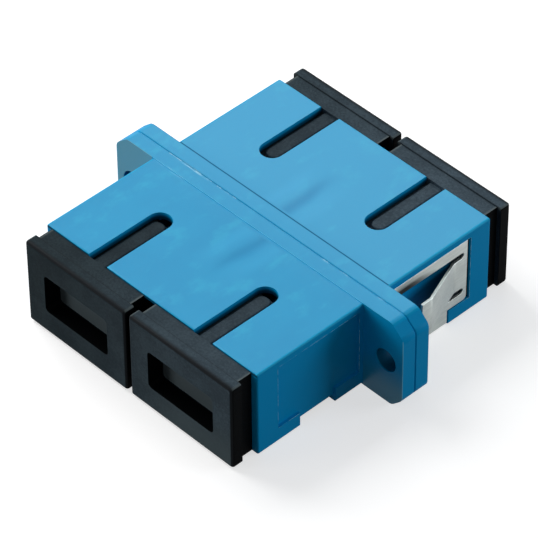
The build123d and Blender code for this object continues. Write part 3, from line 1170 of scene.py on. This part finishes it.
@dataclass
class Housing:
    """The two welded halves, the flash at their weld and along the clip's seats, and the pin marks.

    The flange's low steps on top stay sharp, and the edges along the weld are rounded less than the others.
    Sizes and places are in millimetres.

    Args:
        softened: How the halves' edges are rounded.
        weld_sink: How far the weld's flash lies below the flange's top.
        weld_stretches: Where each thread of it starts and ends along X.
        weld_bead, weld_seed: How it runs.
        seat_y: Where a clip seat starts, up to where it is open at its foot, and where it ends.
        seat_foot: How low its edge reaches.
        seat_bead, seat_seed: How the flash along it runs.
        pin_ys, pin_radius, pin_height: The ejector pins' marks on each half.
        finish, weld_finish, seat_highlight_finish: The finishes.
    """

    softened: Softened = Softened(0.12, crisp=(
        Crisp(SIZES.flange_y, 0.0, above=4.3), Crisp(0.0, 0.4), Crisp(0.09, 0.4)))
    weld_sink: float = 0.035
    weld_stretches: tuple = ((-12.2, -6.9), (-6.2, -5.7), (-5.1, -4.8), (-4.3, -3.9), (6.6, 7.1), (8.9, 9.4))
    weld_bead: Bead = Bead(radius=0.04, swell=0.9, wander=0.08, lumps=900.0)
    weld_seed: float = 3.0
    seat_y: tuple = (1.9, 8.75, 11.2)
    seat_foot: float = -3.0
    seat_bead: Bead = Bead(radius=0.018, swell=1.2, wander=0.03, lumps=700.0)
    seat_seed: float = 5.0
    pin_ys: tuple = (3.2, 11.0)
    pin_radius: float = 0.6
    pin_height: float = 0.02
    finish: HousingPlastic = HousingPlastic()
    weld_finish: PlainFinish = flash_plastic("weld_plastic", srgb(70, 165, 205), srgb(170, 216, 232))
    # Flash whose pale colour is lifted so that it also paints a highlight along the seat's edge, which lies
    # in shade
    seat_highlight_finish: PlainFinish = flash_plastic("seat_hair_highlight_plastic", srgb(40, 156, 202), srgb(160, 220, 240))

    def build(self) -> None:
        """Builds every piece of the housing."""
        plastic = self.finish.material()
        for end in End:
            node = f"housing_{end.word}"
            piece = self.softened.copy_of(node, f"{end.word}_half", plastic, [self.core(end)])
            place(piece, Body.ADAPTER.value, "housing", node)
        self.weld_flash(self.weld_finish.material())
        self.seat_flash(self.seat_highlight_finish.material())
        self.pin_marks(plastic)

    @staticmethod
    def core(end: End) -> bpy.types.Object:
        """The hollow that the mould leaves in the wall between the ports, as a block to cut out."""
        half_x, half_z = SIZES.core_half
        size = Vector((2 * half_x, 2 * SIZES.core_depth, 2 * half_z)) * MM
        shell = bmesh.new()
        bmesh.ops.create_cube(shell, size=1.0)
        bmesh.ops.scale(shell, vec=size, verts=shell.verts)
        bmesh.ops.translate(shell, vec=Vector((0.0, end.value * SIZES.end_y * MM, 0.0)), verts=shell.verts)
        mesh = bpy.data.meshes.new("core")
        shell.to_mesh(mesh)
        shell.free()
        return add_object("core", mesh)

    def weld_flash(self, pale: bpy.types.Material) -> None:
        """Lays the flash that stands out of the weld's groove here and there on the flange's top."""
        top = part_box("housing_front")[1].z - self.weld_sink * MM
        paths = [[Vector((x * MM, SIZES.weld_y * MM, top)) for x in ends] for ends in self.weld_stretches]
        piece = self.weld_bead.lay("weld_flash", paths, self.weld_seed, pale)
        place(piece, Body.ADAPTER.value, "housing")

    def seat_flash(self, pale: bpy.types.Material) -> None:
        """Lays a hair of flash round the edge of each clip seat, where the mould's slide met, in a pale
        colour that also paints a highlight along that edge.
        """
        inner, middle, outer = self.seat_y
        foot, top = self.seat_foot, SIZES.seat_top
        corners = ((middle, foot), (outer, foot), (outer, top), (inner, top), (inner, foot))
        for hand in Hand:
            x = hand.value * (SIZES.side_x - self.seat_bead.radius / 2)
            for end in End:
                path = [Vector((x, end.value * y, z)) * MM for y, z in corners]
                piece = self.seat_bead.lay(f"seat_flash_{end.word}_{hand.word}", [path],
                                           self.seat_seed + hand.value, pale)
                place(piece, Body.ADAPTER.value, "housing")

    def pin_marks(self, plastic: bpy.types.Material) -> None:
        """Presses the marks of the ejector pins into the underside."""
        points = [(hand.value * SIZES.port_x * MM, end.value * y * MM, -SIZES.top_z * MM)
                  for hand in Hand for end in End for y in self.pin_ys]
        mesh = bpy.data.meshes.new("pin_marks")
        mesh.from_pydata(points, [], [])
        piece = add_object("pin_marks", mesh)
        PinMarkRecipe().run(piece, {"Radius": self.pin_radius * MM, "Height": self.pin_height * MM,
                                    "Material": plastic})
        place(piece, Body.ADAPTER.value, "housing")


@dataclass
class MountingClip:
    """The folded sheet with its two sprung tongues."""

    softened: Softened = Softened(0.03, turn=40.0, steps=2)
    finish: SpringSheet = SpringSheet()

    def build(self) -> None:
        """Builds the clip."""
        piece = self.softened.copy_of("mounting_clip", "clip_sheet", self.finish.material())
        place(piece, Body.ADAPTER.value, "clip", "mounting_clip")


@dataclass
class PortInsides:
    """What each port holds: two latch inserts and the sleeve between them."""

    insert_softened: Softened = Softened(0.06, steps=2)
    sleeve_softened: Softened = Softened(0.03, steps=2)
    insert_finish: PlainFinish = insert_plastic()
    sleeve_finish: PlainFinish = sleeve_ceramic()

    def build(self) -> None:
        """Builds the inserts and sleeves of both ports."""
        plastic, ceramic = self.insert_finish.material(), self.sleeve_finish.material()
        for hand in Hand:
            node = f"alignment_sleeve_{hand.word}"
            piece = self.sleeve_softened.copy_of(node, f"sleeve_{hand.word}", ceramic)
            place(piece, Body.ADAPTER.value, "sleeve", node)
            for end in End:
                node = f"latch_insert_{end.word}_{hand.word}"
                piece = self.insert_softened.copy_of(node, f"insert_{end.word}_{hand.word}", plastic)
                place(piece, Body.ADAPTER.value, "insert", node)


@dataclass
class DustCaps:
    """The four pull-out caps."""

    softened: Softened = Softened(0.1)
    finish: CapPlastic = CapPlastic()

    def build(self) -> None:
        """Builds each cap on its own body."""
        plastic = self.finish.material()
        for hand in Hand:
            for end in End:
                node = f"dust_cap_{end.word}_{hand.word}"
                piece = self.softened.copy_of(node, f"cap_{end.word}_{hand.word}", plastic)
                place(piece, Body.cap(end, hand), "cap", node)


@dataclass
class Softbox:
    """One large soft lamp, given by where it stands and what it faces.

    Args:
        name: The lamp's name.
        stand: Its place, in metres.
        size: Its side lengths, in metres.
        power: Its power, in watts.
        colour: Its colour.
    """

    name: str
    stand: tuple
    size: tuple
    power: float
    colour: tuple = (1.0, 1.0, 1.0)

    def build(self) -> None:
        """Adds the lamp, turned to the object."""
        lamp = bpy.data.lights.new(self.name, "AREA")
        lamp.shape = "RECTANGLE"
        lamp.size, lamp.size_y = self.size
        lamp.energy = self.power
        lamp.color = self.colour
        holder = bpy.data.objects.new(self.name, lamp)
        holder.location = self.stand
        holder.rotation_euler = (-Vector(self.stand)).to_track_quat("-Z", "Y").to_euler()
        bpy.context.scene.collection.objects.link(holder)


@dataclass
class Studio:
    """The table, the lamps, the white surround and the camera.

    Args:
        azimuth, elevation, roll: The camera's turn about the object, its tilt and its roll, in degrees.
        target_offset: Where the camera sees the origin: how far right, down and away, in millimetres.
        focal_pixels, image_pixels: The photograph's focal length and its side, in pixels.
        sensor: The width of the camera's sensor, in millimetres.
        clip: The nearest and furthest places that the camera sees, in metres.
        ambient: The surround's strength as plain light.
        gloss_share: How much of the white surround a reflection sees.
        floor_size, floor_gap: The table's side, in metres, and how far it lies below, in millimetres.
        floor_colours, floor_specks, speck_levels: The table's two colours, and the pattern that mixes them.
        bounce_colour: The colour by which the table throws light back.
        floor_roughness: The table's roughness.
        floor_lift: How much the table glows where it is looked at.
        lamps: The soft lamps.
    """

    azimuth: float = 46.476
    elevation: float = 42.723
    roll: float = -0.529
    target_offset: tuple = (0.005, -0.688, 335.854)
    focal_pixels: float = 3988.9
    image_pixels: float = 538.0
    sensor: float = 36.0
    clip: tuple = (0.01, 10.0)
    ambient: float = 0.2
    gloss_share: float = 0.5
    floor_size: float = 3.0
    floor_gap: float = 0.02
    floor_colours: tuple = (srgb(190, 190, 190), srgb(193, 193, 193))
    floor_specks: Pattern = Pattern(0.02)
    speck_levels: tuple = (0.3, 0.7)
    bounce_colour: tuple = srgb(95, 95, 95)
    floor_roughness: float = 0.9
    floor_lift: float = 0.62
    lamps: tuple = (
        Softbox("key", (-0.34, -0.02, 0.32), (0.3, 0.3), 2.05),
        Softbox("sheen", (-0.25, 0.26, 0.32), (0.2, 0.2), 0.3),
        Softbox("front", (-0.24, -0.4, 0.05), (0.2, 0.2), 0.85),
        Softbox("side", (0.28, 0.3, 0.1), (0.2, 0.2), 0.66, (0.82, 0.91, 1.0)),
    )

    def build(self) -> None:
        """Builds the whole studio."""
        scene = bpy.context.scene
        scene.view_settings.view_transform = "Standard"
        self.camera()
        self.surround()
        self.floor()
        for lamp in self.lamps:
            lamp.build()

    def camera(self) -> None:
        """Places the photograph's camera, from its turn about the object, its tilt and its roll."""
        turn, tilt, roll = (math.radians(angle) for angle in (self.azimuth, self.elevation, self.roll))
        back = Vector((math.sin(turn) * math.cos(tilt), -math.cos(turn) * math.cos(tilt), math.sin(tilt)))
        level = Vector((math.cos(turn), math.sin(turn), 0.0))
        upright = back.cross(level)
        right = math.cos(roll) * level + math.sin(roll) * upright
        up = math.cos(roll) * upright - math.sin(roll) * level
        across, down, away = (value * MM for value in self.target_offset)
        eye = -(right * across - up * down - back * away)
        lens = bpy.data.cameras.new("camera")
        lens.sensor_width = self.sensor
        lens.lens = self.focal_pixels / self.image_pixels * self.sensor
        lens.clip_start, lens.clip_end = self.clip
        holder = bpy.data.objects.new("camera", lens)
        turned = Matrix((right, up, back)).transposed().to_4x4()
        turned.translation = eye
        holder.matrix_world = turned
        bpy.context.scene.collection.objects.link(holder)
        bpy.context.scene.camera = holder

    @staticmethod
    def seen_share(tree: Tree, gloss: float = 1.0) -> Signal:
        """How much of the white surround a ray sees.

        Args:
            tree: The tree that gets the nodes.
            gloss: The share that a glossy surface sees.

        Returns:
            1 for what the camera sees straight or through glass, gloss for a reflection, and 0 for
            plain lighting.
        """
        path = tree.node("ShaderNodeLightPath")
        camera, glossy, through = (Signal(tree, path.outputs[name]) for name in (
            "Is Camera Ray", "Is Glossy Ray", "Is Transmission Ray"))
        return camera.largest(glossy * gloss).largest(through)

    def surround(self) -> None:
        """Makes the world white to look at and dimmer as light."""
        world = bpy.data.worlds.new("surround")
        world.use_nodes = True
        world.node_tree.nodes.clear()
        tree = Tree(world.node_tree)
        strength = self.seen_share(tree) * (1.0 - self.ambient) + self.ambient
        sky = tree.output("ShaderNodeBackground", {"Color": WHITE, "Strength": strength})
        tree.node("ShaderNodeOutputWorld", {"Surface": sky})
        bpy.context.scene.world = world

    def floor(self) -> None:
        """Lays the table under the object, lifted to white where it is looked at."""
        half, level = self.floor_size / 2, CAD_BOX[0][2] - self.floor_gap * MM
        corners = [(-half, -half, level), (half, -half, level), (half, half, level), (-half, half, level)]
        mesh = bpy.data.meshes.new("table")
        mesh.from_pydata(corners, [], [(0, 1, 2, 3)])
        shader = Shader("table_top")
        specks = shader.noise(self.floor_specks).step(*self.speck_levels)
        shade = shader.mixed(specks, *self.floor_colours)
        shade = shader.mixed(self.seen_share(shader), self.bounce_colour, shade)
        material = shader.finish(Base_Color=shade, Roughness=self.floor_roughness, Specular_IOR_Level=0.0)
        lift = self.seen_share(shader, self.gloss_share) * self.floor_lift
        glow = shader.output("ShaderNodeEmission", {"Color": WHITE, "Strength": lift})
        both = shader.output("ShaderNodeAddShader", {0: shader.bsdf.outputs["BSDF"], 1: glow})
        shader.feed(shader.out.inputs["Surface"], both)
        mesh.materials.append(material)
        add_object("table", mesh)


def main() -> None:
    """Builds the studio and the object, piece by piece."""
    logging.basicConfig(level=logging.INFO, format="%(name)s %(message)s")
    for part in (Studio(), Housing(), MountingClip(), PortInsides(), DustCaps()):
        LOG.info("building %s", type(part).__name__)
        part.build()


if __name__ == "__main__":
    main()
